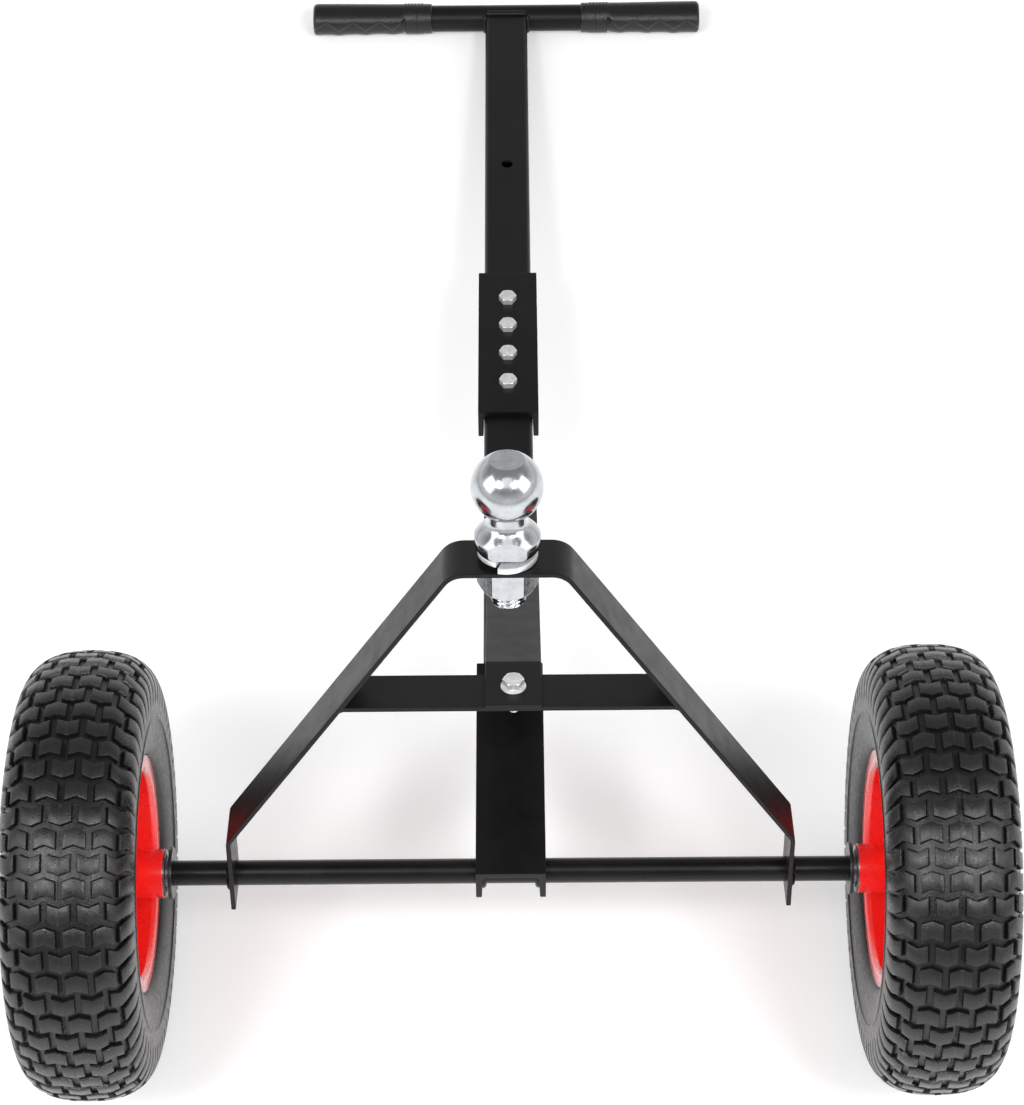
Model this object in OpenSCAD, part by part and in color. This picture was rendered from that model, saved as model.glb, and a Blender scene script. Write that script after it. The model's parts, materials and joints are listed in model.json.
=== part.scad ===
// Hand trailer dolly: two pneumatic wheels on one axle, a bent-bar yoke that carries a
// tow ball, and a long spliced handle with a crossbar and two grips.
// It is drawn parked, with both wheels and both grips on the floor at Z = 0.
// +X is to the right, +Y runs from the wheels to the handle, +Z is up.

/* [Wheels] */
// Outside diameter of the tyre
tyre_d = 320; // [270:1:390]
// Width of the tyre
tyre_w = 90; // [76:1:110]
// Squareness of the tyre's crown, 2 for an oval
tyre_square = 2.5; // [2:0.1:3.2]
// Distance between the middles of the two tyres
track = 597; // [540:1:720]
// Thickness of the tyre's side wall
tyre_wall = 6; // [4:0.5:8]
// Thickness of the tyre under the tread
tread_t = 8; // [6:0.5:12]
// Diameter of the rim at its edge
rim_edge_d = 169; // [150:1:186]
// Width of the rim over its edges
rim_w = 74; // [66:1:76]
// Depth of the rim's edge above the seat of the tyre
rim_lip = 10; // [8:0.5:12]
// Thickness of the rim's pressed sheet
rim_t = 2; // [1.5:0.25:3]
// Outside diameter of the hub tube
hub_d = 35; // [34:0.5:43.5]
// Wall of the hub tube
hub_wall = 2; // [1.5:0.25:3]
// How far the hub reaches towards the chassis from the middle of the tyre
hub_in = 51; // [40:1:60]
// How far the hub reaches outwards from the middle of the tyre
hub_out = 31; // [24:1:36]
// Diameter of the circle of bolts that holds the rim halves together
rim_pcd = 64; // [58:1:68]
// Thickness of the wall of the inner tube
inner_tube_t = 1.6; // [1:0.2:3]
// Diameter of the valve stem
valve_d = 8; // [6:0.5:10]

/* [Wheel bearings] */
// Width of one ball bearing
bearing_w = 10; // [8:0.5:14]
// Wall of the inner race
inner_race_t = 2; // [1.5:0.25:3]
// Wall of the outer race
outer_race_t = 2; // [1.5:0.25:2.5]
// Depth of the ball track in each race
race_track = 0.5; // [0.3:0.1:0.7]
// Number of balls in one bearing
race_balls = 9; // [6:1:12]
// Clearance between the balls and their tracks
run_gap = 0.05; // [0.03:0.01:0.1]

/* [Axle] */
// Diameter of the axle
axle_d = 18; // [14:0.5:22]
// Thickness of the stop collars on the axle
collar_t = 2.5; // [2:0.5:5]
// Outside diameter of the stop collars
collar_d = 37; // [30:1:44]
// Length of bearing race between collar and hub
race_out = 4; // [2:0.5:8]

/* [Ball yoke] */
// Height of the yoke's top face above the axle, ball upright
yoke_h = 281; // [230:1:340]
// Width of the flat bar that the yoke is bent from
bar_w = 38; // [32:1:46]
// Thickness of the flat bar
bar_t = 3.4; // [3:0.2:5]
// Distance over the outsides of the yoke's two feet
yoke_w = 399.5; // [340:0.5:440]
// Width of the flat top before the legs bend down
yoke_top_w = 76; // [70:1:110]
// Height of the lower bends above the axle
foot_bend_h = 45; // [35:1:60]
// How far the feet reach below the axle
foot_drop = 18.4; // [14:0.2:26]
// Bend radius of the yoke's two upper bends, at the middle of the bar
top_bend_r = 16; // [8:0.5:20]
// Bend radius of every other bend, at the middle of the bar
bend_r = 7; // [5:0.5:9]
// Height of the crossbar's top face above the axle
cross_h = 167; // [130:0.5:190]
// Width of the crossbar
cross_w = 35; // [30:0.5:42]

/* [Brace] */
// Width of the brace strap
brace_w = 38.5; // [30:0.5:40]
// Sideways place of the brace and its bolts
brace_x = 3; // [0:0.5:3]
// How far the front foot reaches behind the yoke's middle
brace_knee = 27; // [24:1:34]
// Slope of the strap down to the handle tube
brace_slope = 17; // [14:0.5:20]
// Length of the rear foot on the tube
brace_foot = 42; // [36:1:60]

/* [Handle] */
// Angle between the handle and the level when the ball is upright
handle_rise = 9.35; // [6:0.05:14]
// Distance from the axle to the crossbar of the handle
handle_l = 1030; // [860:1:1240]
// Width of the handle tube
tube_w = 40; // [34:1:50]
// Depth of the handle tube
tube_h = 20; // [20:1:24]
// Wall of the handle tube
tube_t = 2; // [1.5:0.25:3]
// Outside corner radius of the handle tube
tube_r = 4.5; // [4.5:0.25:6]
// Where the lower tube starts, from the axle
tube_start = 16; // [15:1:30]
// Diameter of the round crossbar
grip_bar_d = 25; // [24:0.5:30]
// Wall of the round crossbar
grip_bar_t = 1.8; // [1.2:0.2:3]
// Length of the round crossbar
grip_bar_l = 365; // [320:1:520]
// Outside diameter of the grips
grip_d = 29.5; // [29:0.5:36]
// Length of one grip
grip_l = 114; // [90:1:130]
// Thickness of the closed end of a grip
grip_end = 3; // [2:0.5:5]
// Distance from the axle to the pin hole in the handle
pin_hole_s = 793; // [720:1:880]
// Diameter of the pin hole
pin_hole_d = 10; // [8:0.5:14]

/* [Channels] */
// Thickness of the web
web_t = 5; // [4:0.25:6]
// Thickness of a flange at its root
flange_t = 4.9; // [4:0.1:6]
// Taper of a flange from root to tip
flange_taper = 0.6; // [0:0.1:1]
// Depth of the channel over its web and flanges
channel_depth = 27.4; // [27:0.2:32]
// Radius between web and flange
channel_r = 4; // [2:0.25:4.25]
// Length of the lower channel
channel_l = 200; // [150:1:260]
// How far the lower channel reaches past the axle
channel_tail = 14.5; // [13:0.5:24]
// Length of the splice channel
splice_l = 176; // [160:1:220]
// Distance from the axle to the middle of the splice
splice_s = 549; // [520:1:600]
// Distance between the bolts of the splice
splice_pitch = 35; // [30:1:40]

/* [Tow ball] */
// Diameter of the tow ball
ball_d = 47.625; // [45:0.005:51]
// Height of the ball's middle above the yoke
ball_h = 56.7; // [52:0.1:66]
// Height of the flat on top of the ball above its middle
ball_flat_h = 20.8; // [19:0.1:22]
// Diameter of the neck
neck_d = 25.5; // [22:0.5:28]
// Diameter of the base flange
base_d = 44; // [40:0.5:50]
// Thickness of the base flange
base_t = 9.7; // [8:0.1:12]
// Height of the flare between base flange and neck
flare_h = 8; // [5:0.5:9]
// Distance across the base's wrench flats
base_flats = 36; // [34:0.5:40]
// Diameter of the threaded shank
shank_d = 24; // [20:0.5:26]
// Length of shank showing below the nut
shank_tip = 12.5; // [5:0.5:16]
// Outside diameter of the spring washer
lock_washer_d = 40; // [36:0.5:42]
// Thickness of the spring washer
lock_washer_t = 4.5; // [3:0.25:5]
// Free height of the spring washer, which is left slack
lock_washer_h = 9.3; // [7.5:0.1:11]
// Distance across the flats of the ball nut
ball_nut_af = 36; // [34:0.5:40]
// Height of the ball nut
ball_nut_h = 20; // [16:0.5:24]

/* [Fasteners] */
// Thread diameter of the chassis bolts
bolt_d = 8; // [6:0.5:9]
// Distance across the flats of their heads and nuts
bolt_af = 13; // [12:0.5:14]
// Height of a bolt head
head_h = 5.3; // [4:0.1:6]
// Height of a nut
nut_h = 6.8; // [5:0.1:8]
// Diameter of the flange under a flanged bolt
flange_head_d = 17.5; // [16:0.5:19]
// Length of the bolt in the brace's front foot
foot_bolt_l = 20.5; // [17:0.5:30]
// Thread diameter of the rim bolts
rim_bolt_d = 6; // [5:0.5:7]
// Length of bolt showing past a nut
bolt_tip = 3; // [2:0.5:5]

/* [Hidden] */
$fn = 64;
slip = 0.1;                 // gap between pieces that are pushed or welded together
bolt_gap = 0.3;             // gap between a bolt and its hole, all round
thread_gap = 0.05;          // gap between a nut and its bolt
bead_gap = 0.2;             // gap between the tyre and its rim
cap_gap = 0.15;             // gap between a bearing's shield and its inner race
eps = 0.01;                 // overlap of two shapes that make one solid
past = 2;                   // overshoot of a cut past the faces that it opens
big = 2000;                 // longer than any piece

// parked stance
axle_z = tyre_d / 2;
drop = asin((tyre_d - grip_d) / 2 / handle_l);
lean = handle_rise + drop;
axle_y = (tyre_d / 2 - handle_l * cos(drop) - grip_d / 2) / 2;

// handle
face = tube_h / 2;          // height of the tube's upper face above the axle's middle
web_top = face + web_t;
channel_w = tube_w + 2 * (flange_t + slip);
splice_0 = splice_s - splice_l / 2;
bolt_s = [for (i = [-1.5:1:1.5]) splice_s + i * splice_pitch];

// yoke
leg_run = yoke_w / 2 - yoke_top_w / 2;
leg_rise = yoke_h - foot_bend_h;
leg_slant = atan2(leg_run, leg_rise);
function leg_inner(z) =
    yoke_w / 2 - (z - foot_bend_h) * leg_run / leg_rise - bar_t / cos(leg_slant) - slip;

// brace, in the plane along the handle: S along the tube, H square to it
function to_handle(y, z) =
    [y * cos(handle_rise) + z * sin(handle_rise), z * cos(handle_rise) - y * sin(handle_rise)];
brace_front = to_handle(-bar_w / 2, cross_h + bar_t / 2 + slip);
brace_bend = to_handle(brace_knee, cross_h + bar_t / 2 + slip);
rear_h = face + bar_t / 2 + slip;
heel_s = brace_bend[0] + (brace_bend[1] - rear_h) / tan(brace_slope + handle_rise);
rear_bolt_s = heel_s + brace_foot / 2;
rear_bolt_l = bar_t + slip + tube_h + nut_h + bolt_tip;

// wheel
rim_r = rim_edge_d / 2;
seat_r = rim_r - rim_lip;
widest_share = 0.6;         // place of the tyre's widest point between seat and crown
widest_r = seat_r + widest_share * (tyre_d / 2 - seat_r);
hub_bore_r = hub_d / 2 - hub_wall;
inner_race_r = axle_d / 2 + inner_race_t;
outer_race_r = hub_bore_r - outer_race_t;
pitch_r = (inner_race_r + outer_race_r) / 2;
race_ball_r = (outer_race_r - inner_race_r) / 2 + race_track;
race_lip = 1.2;             // flange of an outer race, outside the hub
press_gap = 0.02;           // gap of a pressed or tight pair
end_play = 0.8;             // gap between an outer race's flange and the end washer
washer_t = 2;
washer_rim = 7;             // width of an end washer
flange_head_h = 2;          // flange under a flanged bolt's head
disc_r = rim_pcd / 2 + 14;  // flat middle of a rim half
rim_bend = 3.5;             // bend radius of the rim's sheet
well_x = 12;                // half width of the rim's well
bead_w = 10;                // width of a bead of the tyre
bead_chamfer = 2.5;
rim_bolt_af = 10;
rim_head_h = 4;
rim_nut_h = 5;
rim_bolt_tip = 2;
valve_turn = 45;            // place of the valve round the wheel
valve_tilt = 18;            // lean of the valve out of the wheel's plane
valve_from = seat_r + 7;    // radius of the valve's root
valve_l = 46;
valve_tip_l = 8;            // length of the thinner threaded end
valve_tip_d = valve_d - 2;
cap_l = 9;                  // length of the valve cap

// bearing middles along the hub, from the middle of the tyre, outwards positive
bearing_mid = [-hub_in + bearing_w / 2, hub_out - bearing_w / 2];

// the two halves of each pair, as signs along X
SIDES = [-1, 1];

// ---------- places ----------

// Axle in the middle, ball upright, turned back into the parked stance
module chassis() {
    translate([0, axle_y, axle_z]) rotate([-lean, 0, 0]) children();
}

// Y along the handle from the axle, Z square to the handle's upper face
module along_handle() {
    chassis() rotate([handle_rise, 0, 0]) children();
}

// Z outwards along the axle from the middle of one tyre
module at_wheel(side) {
    translate([side * track / 2, axle_y, axle_z]) rotate([0, side * 90, 0]) children();
}

// ---------- shapes that repeat ----------

function unit(v) = v / norm(v);
function left_of(v) = [-v[1], v[0]];
function turned(v, a) = [v[0] * cos(a) - v[1] * sin(a), v[0] * sin(a) + v[1] * cos(a)];

// Points round the bend at b of a path a-b-c, d to the left of the middle line
function bend(a, b, c, r, d) =
    let (u = unit(b - a), v = unit(c - b))
    let (turn = atan2(u[0] * v[1] - u[1] * v[0], u * v), way = sign(turn))
    let (centre = b - u * r * tan(abs(turn) / 2) + left_of(u) * way * r)
    [for (i = [0:6]) centre - turned(left_of(u), turn * i / 6) * (way * r - d)];

// One face of a bent sheet whose middle line runs through pts, radii r at its bends
function sheet_face(pts, r, d) =
    let (n = len(pts) - 1, u = unit(pts[1] - pts[0]), v = unit(pts[n] - pts[n - 1]))
    concat(
        [pts[0] + left_of(u) * d],
        [for (i = [1:1:n - 1]) each bend(pts[i - 1], pts[i], pts[i + 1], r[i - 1], d)],
        [pts[n] + left_of(v) * d]
    );

function reversed(list) = [for (i = [len(list) - 1:-1:0]) list[i]];

// Outline of a bent sheet of thickness t
module sheet(pts, t, r) {
    polygon(concat(sheet_face(pts, r, t / 2), reversed(sheet_face(pts, r, -t / 2))));
}

// Ring with its middle plane at Z = 0
module ring(r_out, r_in, h) {
    difference() {
        cylinder(r = r_out, h = h, center = true);
        cylinder(r = r_in, h = h + past, center = true);
    }
}

// Hexagon from Z = 0 upwards, with a flat facing Y
module hex(af, h) {
    cylinder(d = af / cos(30), h = h, $fn = 6);
}

// Bolt with its head on Z = 0, shank downwards
module hex_bolt(d, l, af, h) {
    hex(af, h);
    translate([0, 0, -l]) cylinder(d = d, h = l + eps);
}

module hex_nut(d, af, h) {
    difference() {
        hex(af, h);
        translate([0, 0, h / 2]) cylinder(d = d + 2 * thread_gap, h = h + past, center = true);
    }
}

module flange_washer(h) {
    cylinder(d1 = flange_head_d, d2 = bolt_af, h = h);
}

// Hot rolled channel with its web's top at Z = 0, flanges down, along Y from 0
module channel(l) {
    w = channel_w / 2;
    tip = w - flange_t + flange_taper;
    root = w - flange_t;
    fillet = [for (a = [0:15:90])
        [root - channel_r + channel_r * sin(90 - a), -web_t - channel_r + channel_r * sin(a)]];
    half = concat([[w, 0], [w, -channel_depth], [tip, -channel_depth]], fillet);
    mirrored = [for (p = reversed(half)) [-p[0], p[1]]];
    translate([0, l, 0]) rotate([90, 0, 0]) linear_extrude(l) polygon(concat(half, mirrored));
}

// Flat-sided tube with round corners along Y from 0
module box_tube(w, h, t, r, l) {
    translate([0, l, 0]) rotate([90, 0, 0]) linear_extrude(l) difference() {
        round_box(w, h, r);
        round_box(w - 2 * t, h - 2 * t, r - t);
    }
}

module round_box(w, h, r) {
    square([w - 2 * r, h], center = true);
    square([w, h - 2 * r], center = true);
    for (x = SIDES, y = SIDES)
        translate([x * (w / 2 - r), y * (h / 2 - r)]) circle(r);
}

// Bolt holes through the handle at the places in list, along the handle
module handle_holes(list, d) {
    for (s = list)
        translate([0, s, 0]) cylinder(d = d, h = 4 * tube_h, center = true);
}

// ---------- axle ----------

axle_end = 13;              // length of axle outside each hub
pin_inset = 5;              // from the axle's end to its pin
axle_half = track / 2 + hub_out + axle_end;
pin_x = axle_half - pin_inset;
cotter_d = 3.2;             // thickness of the closed pin

module axle() {
    color("#1c1c1e") chassis() difference() {
        rotate([0, 90, 0]) cylinder(d = axle_d, h = 2 * axle_half, center = true);
        for (x = SIDES)
            translate([x * pin_x, 0, 0])
                cylinder(d = cotter_d + 2 * bolt_gap, h = axle_d + past, center = true);
    }
}

module axle_collars() {
    color("#8d9094") for (side = SIDES)
        at_wheel(side) translate([0, 0, -hub_in - race_out - collar_t / 2])
            ring(collar_d / 2, axle_d / 2 + slip, collar_t);
}

module axle_end_washers() {
    color("#b9bcc0") for (side = SIDES)
        at_wheel(side) translate([0, 0, hub_out + race_lip + end_play + washer_t / 2])
            ring(axle_d / 2 + washer_rim, axle_d / 2 + slip, washer_t);
}

module cotter_pins() {
    eye_r = 3.2;
    wire = cotter_d / 2;
    proud = 3;                  // straight length past the axle at each end
    leg_l = 9;
    spread = 55;                // angle of each bent leg
    color("#b9bcc0") chassis() for (x = SIDES) translate([x * pin_x, 0, 0]) {
        cylinder(r = wire, h = axle_d + 2 * proud, center = true);
        translate([0, 0, axle_d / 2 + proud + eye_r]) rotate([0, 90, 0])
            rotate_extrude() translate([eye_r, 0]) circle(wire, $fn = 24);
        for (y = SIDES)
            translate([0, 0, -axle_d / 2 - proud]) rotate([y * spread, 0, 0])
                translate([0, 0, -leg_l]) cylinder(r = wire / 2, h = leg_l + wire / 2, $fn = 24);
    }
}

// ---------- chassis ----------

module lower_channel() {
    color("#151517") along_handle() difference() {
        translate([0, -channel_tail, web_top]) channel(channel_l);
        rotate([0, 90, 0]) cylinder(d = axle_d + 2 * slip, h = channel_w + past, center = true);
    }
}

module lower_handle_tube() {
    color("#1b1b1d") along_handle() difference() {
        translate([0, tube_start, 0]) box_tube(tube_w, tube_h, tube_t, tube_r, splice_s - slip - tube_start);
        handle_holes([bolt_s[0], bolt_s[1]], bolt_d + 2 * bolt_gap);
        translate([brace_x, 0, 0]) handle_holes([rear_bolt_s], bolt_d + 2 * bolt_gap);
    }
}

module upper_handle_tube() {
    color("#1b1b1d") along_handle() difference() {
        translate([0, splice_s + slip, 0])
            box_tube(tube_w, tube_h, tube_t, tube_r, handle_l - splice_s);
        translate([0, handle_l, 0]) rotate([0, 90, 0])
            cylinder(r = grip_bar_d / 2 + slip, h = tube_w + past, center = true);
        translate([0, handle_l + big / 2, 0]) cube([big, big, big], center = true);
        handle_holes([bolt_s[2], bolt_s[3]], bolt_d + 2 * bolt_gap);
        handle_holes([pin_hole_s], pin_hole_d);
    }
}

module splice_channel() {
    color("#131315") along_handle() difference() {
        translate([0, splice_0, web_top]) channel(splice_l);
        handle_holes(bolt_s, bolt_d + 2 * bolt_gap);
    }
}

module splice_bolts() {
    color("#d5d8dc") along_handle() for (s = bolt_s)
        translate([0, s, web_top])
            hex_bolt(bolt_d, web_t + tube_h + nut_h + bolt_tip, bolt_af, head_h);
}

module splice_nuts() {
    color("#d5d8dc") along_handle() for (s = bolt_s)
        translate([0, s, -face - nut_h]) hex_nut(bolt_d, bolt_af, nut_h);
}

// Bar bent into a flat top, two splayed legs and two upright feet
module ball_yoke() {
    half_t = bar_t / 2;
    right = [
        [yoke_top_w / 2 - half_t * tan(leg_slant / 2), yoke_h - half_t],
        [yoke_w / 2 - half_t, foot_bend_h - half_t * tan(leg_slant / 2)],
        [yoke_w / 2 - half_t, -foot_drop]
    ];
    left = [for (p = reversed(right)) [-p[0], p[1]]];
    color("#19191b") chassis() difference() {
        translate([0, bar_w / 2, 0]) rotate([90, 0, 0])
            linear_extrude(bar_w)
                sheet(concat(left, right), bar_t, [bend_r, top_bend_r, top_bend_r, bend_r]);
        translate([0, 0, yoke_h]) cylinder(d = shank_d + 2 * bolt_gap, h = 4 * bar_t, center = true);
        rotate([0, 90, 0]) cylinder(d = axle_d + 2 * slip, h = yoke_w + past, center = true);
    }
}

module cross_bar() {
    low = cross_h - bar_t;
    color("#19191b") chassis() difference() {
        translate([0, cross_w / 2, 0]) rotate([90, 0, 0]) linear_extrude(cross_w) polygon([
            [-leg_inner(cross_h), cross_h], [leg_inner(cross_h), cross_h],
            [leg_inner(low), low], [-leg_inner(low), low]
        ]);
        translate([brace_x, 0, low + bar_t / 2])
            cylinder(d = bolt_d + 2 * bolt_gap, h = bar_t + past, center = true);
    }
}

// Strap from the crossbar down to the handle tube, with a foot at each end
module brace_strap() {
    path = [brace_front, brace_bend, [heel_s, rear_h], [heel_s + brace_foot, rear_h]];
    hole = bolt_d + 2 * bolt_gap;
    color("#1d1d1f") difference() {
        along_handle() translate([brace_x - brace_w / 2, 0, 0]) rotate([90, 0, 90])
            linear_extrude(brace_w) sheet(path, bar_t, [bend_r, bend_r]);
        chassis() translate([brace_x, 0, cross_h]) cylinder(d = hole, h = 4 * bar_t, center = true);
        along_handle() translate([brace_x, rear_bolt_s, face])
            cylinder(d = hole, h = 4 * bar_t, center = true);
    }
}

module brace_front_bolt() {
    color("#d5d8dc") chassis() translate([brace_x, 0, cross_h + slip + bar_t]) {
        flange_washer(flange_head_h);
        hex_bolt(bolt_d, foot_bolt_l, bolt_af, head_h + flange_head_h);
    }
}

module brace_front_nut() {
    color("#d5d8dc") chassis() translate([brace_x, 0, cross_h - bar_t - nut_h])
        hex_nut(bolt_d, bolt_af, nut_h);
}

module brace_rear_bolt() {
    color("#d5d8dc") along_handle() translate([brace_x, rear_bolt_s, face + slip + bar_t]) {
        flange_washer(flange_head_h);
        hex_bolt(bolt_d, rear_bolt_l, bolt_af, head_h + flange_head_h);
    }
}

module brace_rear_nut() {
    color("#d5d8dc") along_handle() translate([brace_x, rear_bolt_s, -face - nut_h])
        hex_nut(bolt_d, bolt_af, nut_h);
}

// ---------- tow ball ----------

base_z = yoke_h + lock_washer_h;
base_top = base_z + base_t;
base_bevel = 2;             // width of the chamfer under the base flange
base_edge = 1;              // chamfer on the base flange's upper edge
shank_bevel = 1.5;
neck_z = yoke_h + ball_h - sqrt(pow(ball_d / 2, 2) - pow(neck_d / 2, 2));

// Base flange, flared neck and ball turned in one piece with a threaded shank
module tow_ball() {
    flare_r = (base_d - neck_d) / 2 - base_edge;
    flare = [for (a = [0:10:90])
        [neck_d / 2 + flare_r * (1 - sin(a)), base_top + flare_h * (1 - cos(a))]];
    ball_turn = asin(neck_d / ball_d);
    flat_turn = acos(2 * ball_flat_h / ball_d);
    ball = [for (i = [0:24]) let (a = 180 - ball_turn - i / 24 * (180 - ball_turn - flat_turn))
        [ball_d / 2 * sin(a), yoke_h + ball_h + ball_d / 2 * cos(a)]];
    shank_z = yoke_h - bar_t - ball_nut_h - shank_tip;
    outline = concat(
        [[0, shank_z], [shank_d / 2 - shank_bevel, shank_z], [shank_d / 2, shank_z + shank_bevel],
         [shank_d / 2, base_z], [base_d / 2 - base_bevel, base_z],
         [base_d / 2, base_z + 2 * base_bevel], [base_d / 2, base_top - base_edge]],
        flare, ball, [[0, yoke_h + ball_h + ball_flat_h]]
    );
    color("#d9dcdf") chassis() difference() {
        rotate_extrude() polygon(outline);
        for (y = SIDES)
            translate([0, y * (base_flats + base_d) / 2, base_z + base_t / 2])
                cube([base_d, base_d, 2 * base_t], center = true);
    }
}

// Open spring ring that climbs by its free height from one end to the other
module ball_lock_washer() {
    steps = 60;
    start = -109;               // place of the low end round the shank
    gap = 4;                    // opening between the two ends, in degrees
    r_in = shank_d / 2 + bolt_gap;
    r_out = lock_washer_d / 2;
    climb = lock_washer_h - lock_washer_t;
    points = [for (i = [0:steps])
        let (a = start + i * (360 - gap) / steps, z = climb * i / steps)
        each [for (p = [[r_in, 0], [r_out, 0], [r_out, lock_washer_t], [r_in, lock_washer_t]])
            [p[0] * cos(a), p[0] * sin(a), yoke_h + z + p[1]]]];
    sides = [for (i = [0:steps - 1], j = [0:3])
        [4 * i + j, 4 * i + (j + 1) % 4, 4 * i + 4 + (j + 1) % 4, 4 * i + 4 + j]];
    last = 4 * steps;
    color("#c9ccd0") chassis()
        polyhedron(points, concat([[3, 2, 1, 0]], sides, [[last, last + 1, last + 2, last + 3]]));
}

// Nut with its lower corners turned off
module ball_nut() {
    face_d = 0.96 * ball_nut_af;
    color("#d2d5d8") chassis() translate([0, 0, yoke_h - bar_t - ball_nut_h]) intersection() {
        hex_nut(shank_d, ball_nut_af, ball_nut_h);
        cylinder(d1 = face_d, d2 = face_d + 2 * ball_nut_h, h = ball_nut_h);
    }
}

// ---------- handlebar ----------

module handlebar() {
    color("#161618") along_handle() translate([0, handle_l, 0]) rotate([0, 90, 0])
        ring(grip_bar_d / 2, grip_bar_d / 2 - grip_bar_t, grip_bar_l);
}

// Sleeve with a closed outer end, pushed on the crossbar
module grip(side) {
    color("#0f0f10") along_handle()
        translate([side * (grip_bar_l / 2 + grip_end + slip), handle_l, 0]) rotate([0, -side * 90, 0])
            difference() {
                cylinder(d = grip_d, h = grip_l);
                translate([0, 0, grip_end]) cylinder(d = grip_bar_d + 2 * slip, h = grip_l);
            }
}

// ---------- wheels ----------

// Upper quarter of a wheel's section above its widest point: half width x, height r,
// squareness n
function quarter(x, r, n, from, to) =
    [for (i = [0:10]) let (a = from + (to - from) * i / 10)
        [x * pow(max(sin(a), 0), 2 / n), widest_r + r * pow(max(cos(a), 0), 2 / n)]];

// Lower half of a round section, from the widest point towards the rim
function under(x_far, x_near, r_low, steps) =
    [for (i = [1:steps]) let (a = 90 * i / steps)
        [x_near + (x_far - x_near) * cos(a), widest_r - (widest_r - r_low) * sin(a)]];

// Turn a half section, given as places along the axle and radii, about the axle
module turned_ring(half) {
    mirrored = [for (p = reversed(half)) [-p[0], p[1]]];
    rotate_extrude($fn = 96) polygon([for (p = concat(half, mirrored)) [p[1], p[0]]]);
}

// Casing: round crown, wide side walls, beads between the rim's lips
module tyre() {
    crown = tyre_d / 2 - widest_r;
    lip = rim_w / 2 - rim_t;
    seat = seat_r + bead_gap;
    bead = [
        [lip - bead_gap, rim_r + bead_gap], [lip - bead_gap, seat + bead_chamfer],
        [lip - bead_gap - bead_chamfer, seat], [lip - bead_w, seat]
    ];
    color("#222223") turned_ring(concat(
        quarter(tyre_w / 2, crown, tyre_square, 0, 90),
        under(tyre_w / 2, lip + 1, rim_r + bead_gap, 8),
        bead,
        reversed(under(tyre_w / 2 - tyre_wall, lip - tyre_wall, rim_r, 8)),
        quarter(tyre_w / 2 - tyre_wall, crown - tread_t, tyre_square, 90, 0)
    ));
}

// Air tube that fills the casing down to the rim's well
module inner_tube() {
    air_w = tyre_w / 2 - tyre_wall - 3 * slip;
    crown = tyre_d / 2 - tread_t - widest_r - 3 * slip;
    low = seat_r + 4;           // lowest radius of the tube
    color("#303031") difference() {
        turned_ring(concat(
            quarter(air_w, crown, tyre_square, 0, 90), under(air_w, 0, low, 10)
        ));
        turned_ring(concat(
            quarter(air_w - inner_tube_t, crown - inner_tube_t, tyre_square, 0, 90),
            under(air_w - inner_tube_t, 0, low + inner_tube_t, 10)
        ));
        at_valve() cylinder(d = valve_d + 2 * press_gap, h = 10 * inner_tube_t, center = true);
    }
}

// Pressed half of the rim: flat disc, sloping well wall, bead seat and upright lip
module rim_half(out) {
    flat_x = rim_t / 2 + slip / 2;
    path = [
        [rim_w / 2 - rim_t / 2, rim_r], [rim_w / 2 - rim_t / 2, seat_r - rim_t / 2],
        [well_x, seat_r - rim_t], [flat_x, disc_r], [flat_x, hub_d / 2 + slip]
    ];
    color("#d81318") difference() {
        rotate_extrude($fn = 96) rotate(90) mirror([0, 1]) mirror([out < 0 ? 1 : 0, 0])
            sheet(path, rim_t, [rim_bend, rim_bend, rim_bend]);
        at_rim_bolts() cylinder(d = rim_bolt_d + 2 * bolt_gap, h = 6 * rim_t, center = true);
        if (out > 0) at_valve() cylinder(d = valve_d + 2 * bolt_gap, h = 2 * valve_l);
    }
}

module at_rim_bolts() {
    for (i = [0:3]) rotate([0, 0, 90 * i]) translate([rim_pcd / 2, 0, 0]) children();
}

// Z inwards along the valve, from the bottom of the inner tube
module at_valve() {
    rotate([0, 0, valve_turn]) translate([valve_from, 0, 0])
        rotate([0, valve_tilt - 90, 0]) children();
}

module hub() {
    color("#e01a1e") translate([0, 0, (hub_out - hub_in) / 2])
        ring(hub_d / 2, hub_bore_r, hub_in + hub_out);
}

module rim_bolts() {
    color("#c9ccd0") at_rim_bolts() translate([0, 0, rim_t + slip / 2])
        hex_bolt(rim_bolt_d, 2 * rim_t + slip + rim_nut_h + rim_bolt_tip, rim_bolt_af, rim_head_h);
}

module rim_nuts() {
    color("#c9ccd0") at_rim_bolts() translate([0, 0, -rim_t - slip / 2 - rim_nut_h])
        hex_nut(rim_bolt_d, rim_bolt_af, rim_nut_h);
}

// Round track that the balls run in
module track() {
    rotate_extrude() translate([pitch_r, 0]) circle(race_ball_r + run_gap, $fn = 32);
}

module at_bearings() {
    for (i = [0, 1]) translate([0, 0, bearing_mid[i]]) rotate([0, i == 0 ? 180 : 0, 0]) children();
}

// Outer races with their flanges against the ends of the hub
module outer_races() {
    lip_r = hub_d / 2 - 0.5;
    color("#cfd2d6") at_bearings() difference() {
        union() {
            cylinder(r = hub_bore_r - press_gap, h = bearing_w, center = true);
            translate([0, 0, bearing_w / 2]) cylinder(r = lip_r, h = race_lip);
        }
        cylinder(r = outer_race_r, h = 2 * bearing_w, center = true);
        track();
    }
}

module race_balls() {
    color("#e4e6e9") at_bearings() for (i = [1:race_balls])
        rotate([0, 0, i * 360 / race_balls]) translate([pitch_r, 0, 0]) sphere(race_ball_r, $fn = 32);
}

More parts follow.
